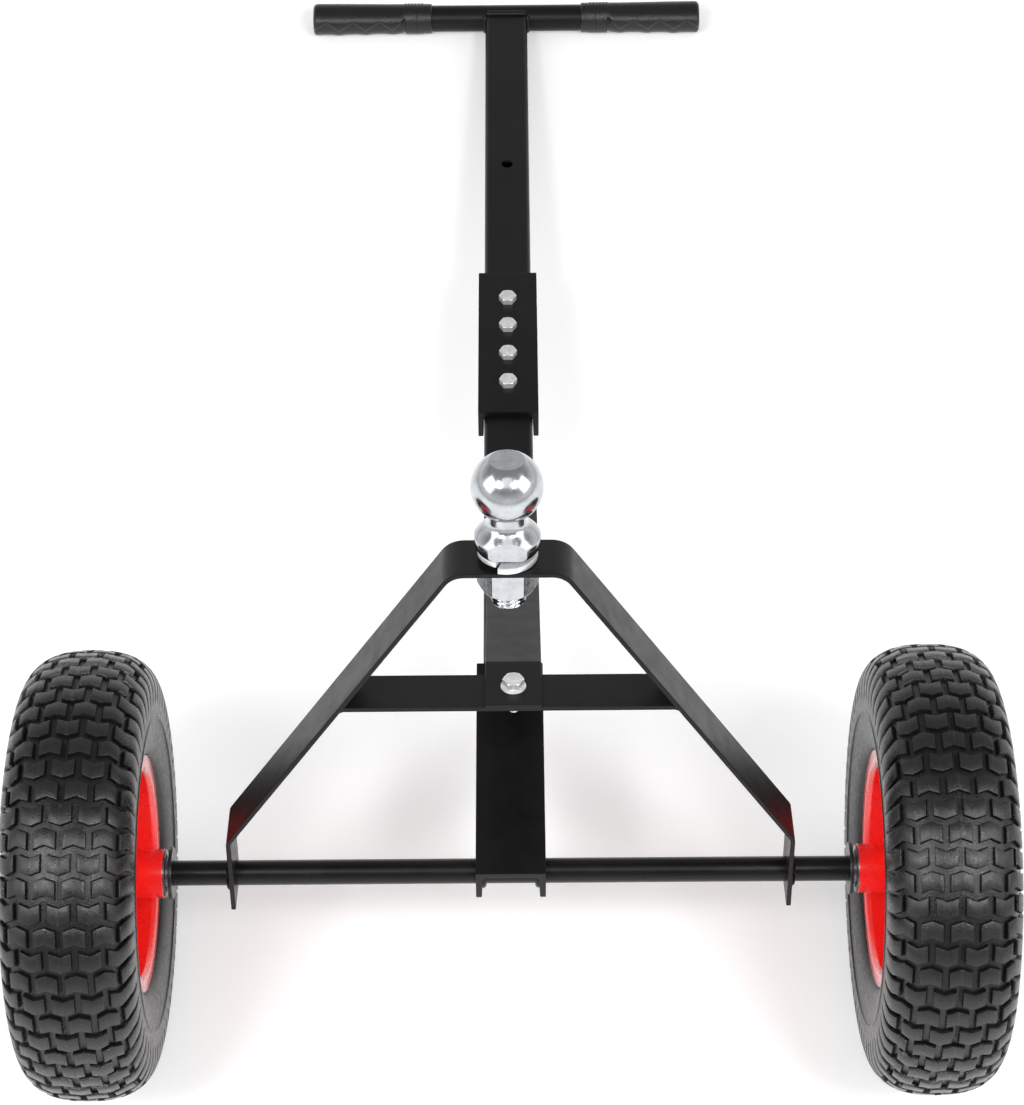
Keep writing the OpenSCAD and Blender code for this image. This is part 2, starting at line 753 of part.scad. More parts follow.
// Thin rings with a round pocket for each ball
module ball_cages() {
    half_t = 0.6;
    color("#b08d3c") at_bearings() difference() {
        ring(pitch_r + half_t, pitch_r - half_t, bearing_w - 3 * half_t);
        for (i = [1:race_balls]) rotate([0, 0, i * 360 / race_balls])
            translate([pitch_r, 0, 0]) rotate([0, 90, 0])
                cylinder(r = race_ball_r + slip, h = 5 * half_t, center = true);
    }
}

module bearing_shields() {
    shield_t = 0.6;
    color("#3a3c40") at_bearings() translate([0, 0, bearing_w / 2 + race_lip - shield_t / 2])
        ring(outer_race_r - press_gap, inner_race_r + cap_gap, shield_t);
}

// Long race towards the chassis, short race outwards, both on the axle
module bearing_inner_races() {
    color("#cfd2d6") for (side = SIDES) at_wheel(side) {
        race(-hub_in - race_out, -hub_in + bearing_w);
        race(hub_out - bearing_w, hub_out + race_lip + end_play);
    }
}

module race(from, to) {
    difference() {
        translate([0, 0, (from + to) / 2]) ring(inner_race_r, axle_d / 2 + press_gap, to - from);
        for (z = bearing_mid) translate([0, 0, z]) track();
    }
}

// Tubes on the axle that keep each pair of bearings apart
module hub_spacers() {
    l = hub_in + hub_out - 2 * bearing_w - 2 * slip;
    color("#8d9094") for (side = SIDES) at_wheel(side)
        translate([0, 0, (hub_out - hub_in) / 2]) ring(inner_race_r, axle_d / 2 + press_gap, l);
}

module valve_stem() {
    color("#b9a15a") at_valve() {
        cylinder(d = valve_d, h = valve_l - valve_tip_l);
        cylinder(d = valve_tip_d, h = valve_l);
    }
}

module valve_cap() {
    wall = 1.4;
    color("#161617") at_valve() translate([0, 0, valve_l + slip + wall - cap_l]) difference() {
        cylinder(d = valve_tip_d + 2 * (slip + wall), h = cap_l);
        translate([0, 0, -wall]) cylinder(d = valve_tip_d + 2 * slip, h = cap_l);
    }
}

axle();
axle_collars();
lower_channel();
lower_handle_tube();
splice_channel();
upper_handle_tube();
handlebar();
grip(-1);  // grip_left
grip(1);  // grip_right
ball_yoke();
cross_bar();
brace_strap();
tow_ball();
ball_lock_washer();
ball_nut();
brace_front_bolt();
brace_front_nut();
brace_rear_bolt();
brace_rear_nut();
splice_bolts();
splice_nuts();
axle_end_washers();
cotter_pins();
bearing_inner_races();
hub_spacers();
at_wheel(-1) tyre();  // left_tyre
at_wheel(-1) inner_tube();  // left_inner_tube
at_wheel(-1) rim_half(-1);  // left_rim_inner
at_wheel(-1) rim_half(1);  // left_rim_outer
at_wheel(-1) hub();  // left_hub
at_wheel(-1) rim_bolts();  // left_rim_bolts
at_wheel(-1) rim_nuts();  // left_rim_nuts
at_wheel(-1) outer_races();  // left_outer_races
at_wheel(-1) race_balls();  // left_race_balls
at_wheel(-1) ball_cages();  // left_ball_cages
at_wheel(-1) bearing_shields();  // left_bearing_shields
at_wheel(-1) valve_stem();  // left_valve_stem
at_wheel(-1) valve_cap();  // left_valve_cap
at_wheel(1) tyre();  // right_tyre
at_wheel(1) inner_tube();  // right_inner_tube
at_wheel(1) rim_half(-1);  // right_rim_inner
at_wheel(1) rim_half(1);  // right_rim_outer
at_wheel(1) hub();  // right_hub
at_wheel(1) rim_bolts();  // right_rim_bolts
at_wheel(1) rim_nuts();  // right_rim_nuts
at_wheel(1) outer_races();  // right_outer_races
at_wheel(1) race_balls();  // right_race_balls
at_wheel(1) ball_cages();  // right_ball_cages
at_wheel(1) bearing_shields();  // right_bearing_shields
at_wheel(1) valve_stem();  // right_valve_stem
at_wheel(1) valve_cap();  // right_valve_cap
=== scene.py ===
# %% [markdown]
# # A hand trailer dolly
#
# A trailer dolly is a bent steel yoke with a tow ball on top, welded to an axle with two
# pneumatic wheels, and steered by a long T-shaped handle. The frame that CAD made is
# loaded first and never moved. Blender then adds what a drawing leaves out: the tread of
# the tyres, the ribs of the grips, weld beads, threads, rounded edges and the finishes.

# %% Load the frame
import json
import math

import bmesh
import bpy
from mathutils import Matrix, Vector

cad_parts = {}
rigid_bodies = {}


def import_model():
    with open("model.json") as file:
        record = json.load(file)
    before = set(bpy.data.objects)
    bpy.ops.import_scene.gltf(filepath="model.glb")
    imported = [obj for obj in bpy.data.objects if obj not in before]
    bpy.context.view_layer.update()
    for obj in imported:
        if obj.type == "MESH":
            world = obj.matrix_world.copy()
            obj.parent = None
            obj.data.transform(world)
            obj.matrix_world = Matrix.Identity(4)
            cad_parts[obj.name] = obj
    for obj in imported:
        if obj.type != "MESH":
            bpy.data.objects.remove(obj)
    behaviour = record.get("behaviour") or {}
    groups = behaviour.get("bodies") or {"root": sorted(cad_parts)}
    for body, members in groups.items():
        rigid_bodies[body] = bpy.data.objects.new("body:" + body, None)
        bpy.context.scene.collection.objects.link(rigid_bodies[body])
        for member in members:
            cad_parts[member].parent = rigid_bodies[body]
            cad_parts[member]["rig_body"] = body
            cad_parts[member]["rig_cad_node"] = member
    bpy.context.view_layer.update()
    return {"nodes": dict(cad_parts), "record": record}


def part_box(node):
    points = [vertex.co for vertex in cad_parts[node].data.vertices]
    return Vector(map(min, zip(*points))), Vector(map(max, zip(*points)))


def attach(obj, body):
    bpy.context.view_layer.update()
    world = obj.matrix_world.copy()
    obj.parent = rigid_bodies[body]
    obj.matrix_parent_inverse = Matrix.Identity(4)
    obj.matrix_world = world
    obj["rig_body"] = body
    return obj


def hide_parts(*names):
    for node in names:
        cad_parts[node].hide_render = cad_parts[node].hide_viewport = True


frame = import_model()
nodes = frame["nodes"]

# %% [markdown]
# Sizes are easiest to think about in millimetres and in the frame of the piece itself, so
# every new piece is modelled at the origin in millimetres. Three matrices then carry it
# to its place in metres. The chassis has its origin on the axle with the ball upright,
# the handle has Y along the tube, and a wheel has Z along the axle, outwards. Their
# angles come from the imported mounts, so they follow the drawing.

# %% Places
MM = 0.001
mounts = {m["name"]: m for m in frame["record"]["mounts"]}


def middle(node):
    low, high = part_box(node)
    return (low + high) / 2


def tilt(axis):
    """Angle of an upright axis from +Z towards +Y."""
    return math.atan2(axis[1], axis[2])


axle = middle("axle")
lean = tilt(mounts["tow_ball"]["axis"])
dip = tilt(mounts["handle_pin_hole"]["axis"])
to_metres = Matrix.Translation(axle) @ Matrix.Scale(MM, 4)
CHASSIS = to_metres @ Matrix.Rotation(-lean, 4, "X")
HANDLE = to_metres @ Matrix.Rotation(-dip, 4, "X")
handle_l = (middle("handlebar") - axle).length / MM


def wheel_place(side):
    """From a wheel's own frame to the row frame: side is -1 at the left, 1 at the right."""
    hub = middle(("left" if side < 0 else "right") + "_tyre")
    turn = Matrix.Rotation(math.radians(90) * side, 4, "Y")
    return Matrix.Translation(hub) @ Matrix.Scale(MM, 4) @ turn


print(f"ball leans {math.degrees(lean):.2f} degrees, handle dips {math.degrees(dip):.2f}")
print(f"from axle to handlebar: {handle_l:.1f} mm")

# %% [markdown]
# Operators act on whatever is selected, and loading leaves every CAD node selected. These
# small helpers keep that under control: one deselects everything, one chooses a single
# piece, one opens it in edit mode, and one selects its faces by a test of their place.
#
# Spinning a profile makes what is the same all the way round. Threads, finger scoops and
# weld ripples aren't, so those pieces start as a flat grid that is rolled into a closed
# tube, and a small function says where each of its corners goes.

# %% Helpers for modelling


def deselect():
    if bpy.context.object and bpy.context.object.mode != "OBJECT":
        bpy.ops.object.mode_set(mode="OBJECT")
    bpy.ops.object.select_all(action="DESELECT")


def choose(obj):
    """Selects one piece and makes it the active one."""
    deselect()
    obj.select_set(True)
    bpy.context.view_layer.objects.active = obj


def added(name):
    """Names the piece that an operator has just added."""
    obj = bpy.context.object
    obj.name = name
    obj.data.name = name
    return obj


def edit(obj, mode="FACE"):
    choose(obj)
    bpy.ops.object.mode_set(mode="EDIT")
    bpy.ops.mesh.select_mode(type=mode)
    bpy.ops.mesh.select_all(action="DESELECT")


def pick_faces(obj, test):
    """In edit mode, selects the faces whose middle passes the test, and nothing else."""
    bpy.ops.mesh.select_all(action="DESELECT")
    mesh = bmesh.from_edit_mesh(obj.data)
    for face in mesh.faces:
        middle_point = sum((v.co for v in face.verts), Vector()) / len(face.verts)
        face.select_set(bool(test(middle_point)))
    mesh.select_flush_mode()
    bmesh.update_edit_mesh(obj.data)


def close_up(obj, merge=0.001):
    """Merges doubled corners, closes open rims and turns every face outwards."""
    edit(obj, "EDGE")
    bpy.ops.mesh.select_all(action="SELECT")
    bpy.ops.mesh.remove_doubles(threshold=merge)
    bpy.ops.mesh.select_all(action="SELECT")
    bpy.ops.mesh.fill_holes(sides=0)
    bpy.ops.mesh.select_all(action="SELECT")
    bpy.ops.mesh.normals_make_consistent(inside=False)
    bpy.ops.object.mode_set(mode="OBJECT")
    return obj


def round_z(radius, angle, height):
    """The point at a radius and an angle round Z."""
    return Vector((radius * math.cos(angle), radius * math.sin(angle), height))


def rolled(name, around, along, shape):
    """A flat grid rolled into a closed tube: shape(turn, way) places each corner, and
    turn goes from 0 to 1 round the tube while way goes from 0 to 1 along it."""
    deselect()
    bpy.ops.mesh.primitive_grid_add(x_subdivisions=around, y_subdivisions=along, size=1)
    obj = added(name)
    for corner in obj.data.vertices:
        turn, way = corner.co.x + 0.5, corner.co.y + 0.5
        corner.co = shape(round(turn * around) / around, round(way * along) / along)
    return close_up(obj)


def apply_modifier(obj, kind, **settings):
    choose(obj)
    modifier = obj.modifiers.new(kind.title(), kind)
    for key, value in settings.items():
        setattr(modifier, key, value)
    bpy.ops.object.modifier_apply(modifier=modifier.name)


def another(obj, name):
    """A copy with its own mesh."""
    choose(obj)
    bpy.ops.object.duplicate()
    return added(name)


def joined(name, pieces):
    """Several shells of one kind in one object."""
    choose(pieces[0])
    for piece in pieces:
        piece.select_set(True)
    bpy.ops.object.join()
    return added(name)


def placed(obj, matrix):
    """Bakes a piece's place into its mesh."""
    obj.data.transform(matrix)
    obj.data.update()
    return obj


def handed_in(obj, body, material, stands_for=(), angle=30):
    """Last step for every piece: shading, finish, and the CAD body that carries it."""
    choose(obj)
    bpy.ops.object.shade_smooth_by_angle(angle=math.radians(angle))
    obj.data.materials.clear()
    obj.data.materials.append(material)
    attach(obj, body)
    if stands_for:
        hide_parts(*stands_for)
    print(f"{obj.name}: {len(obj.data.polygons)} faces")


# %% [markdown]
# Finishes are node materials. Colours are written as they look on a screen, so one
# function turns them to the linear values that the shader needs. One more function adds
# a node, and takes either plain values or the sockets of other nodes as its inputs.

# %% Helpers for finishes


def linear(hex_colour):
    """Linear RGBA of an sRGB hex colour."""
    parts = [int(hex_colour[i : i + 2], 16) / 255 for i in (1, 3, 5)]
    return [p / 12.92 if p <= 0.04045 else ((p + 0.055) / 1.055) ** 2.4 for p in parts] + [1]


def add(tree, kind, inputs=None, **settings):
    """Adds a node and gives each named input a value or a link."""
    made = tree.nodes.new(kind)
    for key, value in settings.items():
        setattr(made, key, value)
    for name, value in (inputs or {}).items():
        if isinstance(value, bpy.types.NodeSocket):
            tree.links.new(value, made.inputs[name])
        else:
            made.inputs[name].default_value = value
    return made


def finish(name):
    """A new material, its node tree, its shader and its Object coordinates."""
    material = bpy.data.materials.new(name)
    material.use_nodes = True
    tree = material.node_tree
    shader = tree.nodes["Principled BSDF"]
    place = add(tree, "ShaderNodeTexCoord").outputs["Object"]
    return material, tree, shader, place


def per(size):
    """Texture scale at which one cell of a pattern measures size millimetres."""
    return 1 / (size * MM)


def speckle(tree, place, size, detail=3, rough=0.55):
    """Noise of a given grain in millimetres, as its factor from 0 to 1."""
    inputs = {"Vector": place, "Scale": per(size), "Detail": detail, "Roughness": rough}
    return add(tree, "ShaderNodeTexNoise", inputs).outputs["Fac"]


def between(tree, factor, low, high, start=0.3, end=0.7):
    """Turns a pattern into values from low, at start, to high, at end."""
    inputs = {"Value": factor, "From Min": start, "From Max": end, "To Min": low, "To Max": high}
    return add(tree, "ShaderNodeMapRange", inputs).outputs["Result"]


def blend(tree, factor, colour_a, colour_b):
    """Mixes two colours, each a hex value or a socket."""
    mixed = add(tree, "ShaderNodeMix", data_type="RGBA")
    tree.links.new(factor, mixed.inputs["Factor"])
    for name, colour in (("A", colour_a), ("B", colour_b)):
        socket = next(s for s in mixed.inputs if s.name == name and s.type == "RGBA")
        if isinstance(colour, str):
            socket.default_value = linear(colour)
        else:
            tree.links.new(colour, socket)
    return next(s for s in mixed.outputs if s.type == "RGBA")


def relief(tree, shader, height, depth, strength):
    """Bump of a given depth in millimetres."""
    inputs = {"Height": height, "Distance": depth * MM, "Strength": strength}
    tree.links.new(add(tree, "ShaderNodeBump", inputs).outputs["Normal"], shader.inputs["Normal"])


def drive(tree, shader, **sockets):
    """Links patterns to the shader's sockets, and sets plain values."""
    for name, value in sockets.items():
        name = name.replace("_", " ")
        if isinstance(value, bpy.types.NodeSocket):
            tree.links.new(value, shader.inputs[name])
        elif isinstance(value, str):
            shader.inputs[name].default_value = linear(value)
        else:
            shader.inputs[name].default_value = value


# %% [markdown]
# Powder coat is a plastic powder sprayed on dry steel and melted in an oven. It flows
# into a smooth skin with a faint orange peel a few millimetres wide, so reflections in
# it are soft and a little wavy. Here the peel is a shallow bump and the gloss varies
# slightly. The axle is wet painted instead, so its peel is finer and its gloss higher.

# %% Black coats


def black_coat(name, colour, worn, gloss, peel):
    """Two near blacks in clouds, a roughness and the width of the peel in millimetres."""
    material, tree, shader, place = finish(name)
    cloud = speckle(tree, place, 60, 4)
    drive(
        tree,
        shader,
        Base_Color=blend(tree, between(tree, cloud, 0, 1), colour, worn),
        Roughness=between(tree, speckle(tree, place, 14), gloss - 0.05, gloss + 0.07),
        IOR=1.5,
        Specular_IOR_Level=0.24,
    )
    relief(tree, shader, speckle(tree, place, peel, 2), depth=0.05, strength=0.35)
    return material


powder_coat = black_coat("powder_coat_black", "#0b0b0c", "#121213", 0.33, 2.2)
axle_paint = black_coat("axle_paint_black", "#0d0d0e", "#141415", 0.24, 1.2)
print("coats:", powder_coat.name, axle_paint.name)

# %% [markdown]
# The rims and hubs are pressed and turned steel with a wet red enamel, which dries to a
# hard clear gloss over a deep colour. A thin clear coat on the shader gives the second,
# sharper reflection that enamel has.

# %% Red enamel


def red_enamel():
    material, tree, shader, place = finish("red_enamel")
    cloud = speckle(tree, place, 25, 3)
    drive(
        tree,
        shader,
        Base_Color=blend(tree, between(tree, cloud, 0, 1), "#f8201c", "#f01a17"),
        Roughness=between(tree, speckle(tree, place, 8), 0.24, 0.34),
        IOR=1.5,
        Coat_Weight=1.0,
        Coat_Roughness=0.12,
    )
    relief(tree, shader, speckle(tree, place, 3, 2), depth=0.04, strength=0.25)
    return material


enamel = red_enamel()
print("enamel:", enamel.name)

# %% [markdown]
# Tyre rubber is filled with carbon black, so it is a dark warm grey that scatters light
# softly. The mould leaves a fine grain, and a bloom of wax and dust makes some patches
# lighter and duller than others. Real grain is about 0.2 mm wide, and is drawn about 1 mm
# wide so that it shows. Grooves hold hardly any light, so an attribute on the tread marks
# how deep a place lies, and the colour there is darkened towards black: painted shade in
# the grooves. The grips are dipped vinyl, which is blacker, smoother and a little glossier.

# %% Rubber and vinyl


def rubber(name, dark, dusty, low, high, grain, groove_shade_attribute=None):
    """Two colours, the lowest and highest roughness, the grain's width in millimetres,
    and the attribute by which its grooves get painted shade, if it has any."""
    material, tree, shader, place = finish(name)
    bloom = speckle(tree, place, 35, 5, 0.6)
    colour = blend(tree, between(tree, bloom, 0, 1), dark, dusty)
    if groove_shade_attribute:
        groove_shade = add(tree, "ShaderNodeAttribute", attribute_name=groove_shade_attribute).outputs["Fac"]
        # painted shade: the colour goes towards near black where the tread lies deep in a groove
        colour = blend(tree, groove_shade, colour, "#030303")
    drive(
        tree,
        shader,
        Base_Color=colour,
        Roughness=between(tree, speckle(tree, place, 5, 4), low, high),
        IOR=1.5,
    )
    relief(tree, shader, speckle(tree, place, grain, 3, 0.65), depth=0.25, strength=0.9)
    return material


tyre_rubber = rubber("tyre_rubber", "#111112", "#1a1a1b", 0.2, 0.38, 1.1, "groove_shade")
tube_rubber = rubber("tube_rubber", "#1b1b1c", "#232324", 0.5, 0.7, 1.5)
grip_vinyl = rubber("dipped_vinyl", "#0e0e0f", "#131314", 0.26, 0.36, 0.9)
cap_plastic = rubber("moulded_plastic", "#111112", "#161617", 0.4, 0.5, 0.8)
print("rubbers:", tyre_rubber.name, tube_rubber.name, grip_vinyl.name, cap_plastic.name)

# %% [markdown]
# The ball, bolts and nuts are steel with a bright zinc plate, passivated in a bath that
# leaves a faint blue or straw tint. The ball is turned and polished before it is plated,
# so it mirrors its surroundings. The bolts are barrel plated as forged: their skin is
# full of tiny dents that scatter light, so a third of it is left diffuse instead of
# metallic. The dents are really much finer, and are drawn just wide enough to show.

# %% Metals


def metal(name, colour, tint, low, high, patch, dent, metallic=1.0):
    """Two colours, the lowest and highest roughness, the width of a patch and the depth
    of a dent in millimetres."""
    material, tree, shader, place = finish(name)
    cloud = speckle(tree, place, patch, 3)
    drive(
        tree,
        shader,
        Base_Color=blend(tree, between(tree, cloud, 0, 1), colour, tint),
        Metallic=metallic,
        Roughness=between(tree, speckle(tree, place, patch / 3, 4), low, high),
    )
    relief(tree, shader, speckle(tree, place, patch / 5, 3), depth=dent, strength=0.3)
    return material


ball_zinc = metal("bright_zinc_polished", "#c8ccd0", "#b2b4b7", 0.1, 0.24, 8, 0.08)
bolt_zinc = metal("bright_zinc_barrel_plated", "#f3f5f7", "#dcdcda", 0.28, 0.46, 3.5, 0.12, 0.65)
steel = metal("ground_bearing_steel", "#8e9093", "#7f8184", 0.2, 0.34, 8, 0.01)
brass = metal("stamped_brass", "#b08d3c", "#9c7a30", 0.25, 0.4, 5, 0.02)
collar_steel = metal("dark_collar_steel", "#55575a", "#444648", 0.22, 0.36, 7, 0.03)
print("metals:", ball_zinc.name, bolt_zinc.name, steel.name, brass.name, collar_steel.name)

# %% [markdown]
# Every CAD node names a material slot, such as the frame's black or the fastener's zinc.
# A table from slot to finish dresses them all in one go, so nothing shows its plain CAD
# colour. Two nodes then get a finish of their own: the axle is painted, where the frame is
# powder coated, and the collars on it are a darker steel, where the fasteners are zinc.

# %% Finish of each CAD node
FINISHES = {
    "frame_black": powder_coat,
    "grip_vinyl": grip_vinyl,
    "ball_zinc": ball_zinc,
    "fastener_zinc": bolt_zinc,
    "bearing_steel": steel,
    "rim_red": enamel,
    "tyre_rubber": tyre_rubber,
    "tube_rubber": tube_rubber,
    "cage_brass": brass,
    "shield_dark": cap_plastic,
    "cap_black": cap_plastic,
}
slot_of = {part["node"]: part["material_slot"] for part in frame["record"]["subparts"]}
for name, obj in nodes.items():
    obj.data.materials.clear()
    obj.data.materials.append(FINISHES[slot_of[name]])
nodes["axle"].data.materials[0] = axle_paint
nodes["axle_collars"].data.materials[0] = collar_steel
print("finishes on", len(nodes), "nodes")

# %% [markdown]
# The studio is a pale floor under soft light. Glossy black steel shows little of its own
# colour, so what it mirrors decides how it looks: the white floor in the faces that lean
# towards it, and a dim ceiling in the faces that look up. The sky is bright near the
# horizon and fades above it, and five soft lights do the rest.

# %% Studio
FLOOR_SIZE = 60             # metres, so that its edge lies near the horizon
HORIZON_GLOW = 0.95
CEILING_GLOW = 0.36
FADE = (0.05, 0.5)          # height of the sky over which it dims, from 0 to 1 overhead

deselect()
bpy.ops.mesh.primitive_plane_add(size=FLOOR_SIZE)
floor = added("studio_floor")
paper, paper_tree, paper_shader, _ = finish("matt_white_paper")
drive(
    paper_tree,
    paper_shader,
    Base_Color="#f0f0f0",
    Roughness=0.9,
    Emission_Color="#ffffff",
    Emission_Strength=0.27,
)
floor.data.materials.append(paper)

world = bpy.data.worlds.new("studio_sky")
bpy.context.scene.world = world
world.use_nodes = True
sky = world.node_tree
direction = add(sky, "ShaderNodeTexCoord").outputs["Generated"]
height = add(sky, "ShaderNodeSeparateXYZ", {"Vector": direction}).outputs["Z"]
glow = between(sky, height, HORIZON_GLOW, CEILING_GLOW, *FADE)
sky.links.new(glow, sky.nodes["Background"].inputs["Strength"])
sky.nodes["Background"].inputs["Color"].default_value = linear("#ffffff")

SOFT_LIGHTS = {             # place in metres, side of the square in metres, watts
    "top": ((0.0, -1.6, 3.0), 1.6, 8),
    "front_left": ((-1.0, -1.5, 2.4), 0.55, 24),
    "front_right": ((1.0, -1.5, 2.4), 0.55, 24),
    "side_left": ((-2.1, -1.0, 1.8), 1.7, 22),
    "side_right": ((2.1, -1.0, 1.8), 1.7, 22),
}
AIM = Vector((0, -0.2, 0.15))
for name, (spot, size, watts) in SOFT_LIGHTS.items():
    deselect()
    facing = (AIM - Vector(spot)).to_track_quat("-Z", "Y").to_euler()
    bpy.ops.object.light_add(type="AREA", location=spot, rotation=facing)
    lamp = bpy.context.object
    lamp.name = "softbox_" + name
    lamp.data.size = size
    lamp.data.energy = watts
bpy.context.scene.view_settings.view_transform = "Standard"
print("lights:", ", ".join(SOFT_LIGHTS))

# %% [markdown]
# The camera stands in front of the wheels, almost two metres up, and looks down along the
# handle with a short telephoto lens. It starts out looking straight down and is turned
# three times: a hair to the left, up towards the handle, and a little over on its side.

# %% Camera
CAMERA_AT = (0.0055, -1.4441, 1.9517)
CAMERA_TURNS = (("Z", 0.14), ("X", 35.693), ("Z", -0.55))       # degrees
SENSOR = 36                 # millimetres, from top to bottom
LENS = 93.01

deselect()
bpy.ops.object.camera_add()
camera = bpy.context.object
camera.name = "camera"
stand = Matrix.Translation(CAMERA_AT)
for axis, degrees in CAMERA_TURNS:
    stand = stand @ Matrix.Rotation(math.radians(degrees), 4, axis)
camera.matrix_world = stand
camera.data.sensor_fit = "VERTICAL"
camera.data.sensor_height = SENSOR
camera.data.lens = LENS
bpy.context.scene.camera = camera
print("camera:", LENS, "mm lens at", CAMERA_AT)

# %% [markdown]
# ## Tyres
#
# A pneumatic tyre with a block tread. The section is a squarish crown on a softly curved
# wall, with a bead that sits in the rim and an air space inside. It is written once as a
# line of points, from the middle of the crown down one side and back along the inside,
# and every place on the tyre is then given by its distance along that line.

# %% Section of the tyre
TYRE_R = 160
HALF_W = 45
WIDEST_R = 125.8
SQUARE = 2.5                # 2 gives an ellipse, more gives a squarer crown
CROWN_IN = (39, 26.2)       # half width and height of the air space above the widest point
WALL_FOOT = (36, 84.7)      # half width and radius where the outer wall meets the rim
AIR_FOOT = (29, 84.5)       # the same for the air space
BEAD = [(34.8, 84.6), (34.8, 77.2), (32.3, 74.7), (25, 74.7)]


def crown_arc(half, rise, start, end, steps):
    """A squared quarter ellipse above the widest radius; 90 degrees is the crown."""
    points = []
    for i in range(steps + 1):
        a = math.radians(start + (end - start) * i / steps)
        out, up = math.cos(a) ** (2 / SQUARE), math.sin(a) ** (2 / SQUARE)
        points.append((half * out, WIDEST_R + rise * up))
    return points


def wall_arc(half, end_half, end_r, steps):
    """The wall below the widest radius, down to the bead."""
    points = []
    for i in range(1, steps + 1):
        a = math.radians(90 * i / steps)
        out = end_half + (half - end_half) * math.cos(a)
        points.append((out, WIDEST_R - (WIDEST_R - end_r) * math.sin(a)))
    return points


outside = crown_arc(HALF_W, TYRE_R - WIDEST_R, 90, 0, 160) + wall_arc(HALF_W, *WALL_FOOT, 24)
inside = [AIR_FOOT] + wall_arc(CROWN_IN[0], *AIR_FOOT, 12)[::-1][1:]
inside += crown_arc(*CROWN_IN, 0, 90, 24)
section = outside + BEAD + inside
reach = [0.0]               # distance along the section to each of its points
for p, q in zip(section, section[1:]):
    reach.append(reach[-1] + math.dist(p, q))
outside_end = reach[len(outside) - 1]


def on_section(u):
    """Point and outward normal of the section at a distance u from the crown's middle."""
    far = min(abs(u), reach[-1] - 1e-6)
    i = next(k for k in range(1, len(reach)) if reach[k] >= far)
    p, q = section[i - 1], section[i]
    share = (far - reach[i - 1]) / max(reach[i] - reach[i - 1], 1e-9)
    z, r = p[0] + (q[0] - p[0]) * share, p[1] + (q[1] - p[1]) * share
    out, down = (q[0] - p[0]) / math.dist(p, q), (q[1] - p[1]) / math.dist(p, q)
    side = math.copysign(1, u) if u else 1
    return Vector((side * z, r)), Vector((side * -down, out))


print(f"section: {outside_end:.1f} mm from crown to rim, {reach[-1]:.1f} mm in all")

# %% [markdown]
# The tread repeats every two rows, and a row of blocks is one sixtieth of the way round.
# It is easiest to make flat, as a strip of two rows: a grid whose lines are slid to the
# edges of the blocks, then pushed into the zigzag that all the edges follow. The blocks
# are raised by one inset with a depth, and their top edges are bevelled.

# %% Flat strip of two rows
ROWS = 60
ROW = math.tau * TYRE_R / ROWS          # 16.76 mm along the crown
BLOCK = 12.7                            # length of a block at the groove's floor
TREAD_DEPTH = 3.0
DRAFT = 0.5                             # how far a block's wall leans in
ZIGZAG = 3.6                            # rise from a low point to a high one
EDGE = 0.5                              # rounding of a block's top edge
SHOULDER = (56, 70)                     # where the blocks fade out, from the crown's middle
WIDEN = 0.7                             # how far each end of a block grows in the shoulder
WIDEN_OVER = (44, 56)                   # where it grows, from the crown's middle
WIDENED = {1: -1, 2: 1, 3: -1, 4: 1}    # which way each line along the strip then moves
# where each of the two rows has blocks, from the crown's middle to either side
BLOCK_SPANS = {0: [(2, 18), (22, 38), (42, 70)], 1: [(-8, 8), (12, 28), (32, 70)]}

# lines across the strip, closer together at block sides and at the ring on the wall
across = [0, 0.5, 2, 5, 8, 10, 12, 15, 18, 20, 22, 25, 28, 30, 32, 35, 38, 40, 42, 45]
across += [47.5, 50, 52, 54, 56, 58, 60, 62, 64, 66, 68, 70, 72.5, 75, 77.6, 78.3, 79.3, 80]
STEPS_DOWN = 9
STEPS_INSIDE = 14
wall_start = across[-1]
wall_length = outside_end - wall_start
across += [wall_start + wall_length * (i + 1) / STEPS_DOWN for i in range(STEPS_DOWN)]
across += [reach[len(outside) + i] for i in range(len(BEAD))]
inner_start = reach[len(outside) + len(BEAD)]
inner_length = reach[-1] - inner_start
across += [inner_start + inner_length * i / STEPS_INSIDE for i in range(STEPS_INSIDE + 1)]
across = [-u for u in across[:0:-1]] + across
floor_gap = (ROW - BLOCK) / 2
along = [0, floor_gap, ROW - floor_gap, ROW + floor_gap, 2 * ROW - floor_gap, 2 * ROW]


def ease(x, start, end):
    """0 before start, 1 after end and smooth between."""
    t = min(max((x - start) / (end - start), 0), 1)
    return t * t * (3 - 2 * t)


def zigzag(u):
    """Shift of every block edge, low at 0, 20 and 40 mm, high between, level past 50."""
    far = min(abs(u), 50)
    return ZIGZAG * (1 - abs(far % 20 - 10) / 10 - 0.5)


def in_block(point):
    """True in the middle of a block: the two rows alternate, like bricks."""
    along_row = point.y - zigzag(point.x)
    spans = BLOCK_SPANS[0 if along_row < ROW else 1]
    return (any(low < abs(point.x) < high for low, high in spans)
            and abs(along_row % ROW - ROW / 2) < BLOCK / 4)


deselect()
bpy.ops.mesh.primitive_grid_add(
    x_subdivisions=len(across) - 1, y_subdivisions=len(along) - 1, size=1
)
strip = added("tread_strip")
print("grid corners:", len(strip.data.vertices), "wanted:", len(across) * len(along))
for corner in strip.data.vertices:
    i = round((corner.co.x + 0.5) * (len(across) - 1))
    j = round((corner.co.y + 0.5) * (len(along) - 1))
    u, v = across[i], along[j]
    widen = WIDEN * ease(abs(u), *WIDEN_OVER) * WIDENED.get(j, 0)
    corner.co = (u, v + widen + zigzag(u), 0)

edit(strip)
pick_faces(strip, in_block)
bpy.ops.mesh.inset(thickness=DRAFT, depth=TREAD_DEPTH)
bpy.ops.mesh.region_to_loop()
bpy.ops.mesh.bevel(offset=EDGE, segments=2, affect="EDGES")
bpy.ops.object.mode_set(mode="OBJECT")
print("strip:", len(strip.data.polygons), "faces")
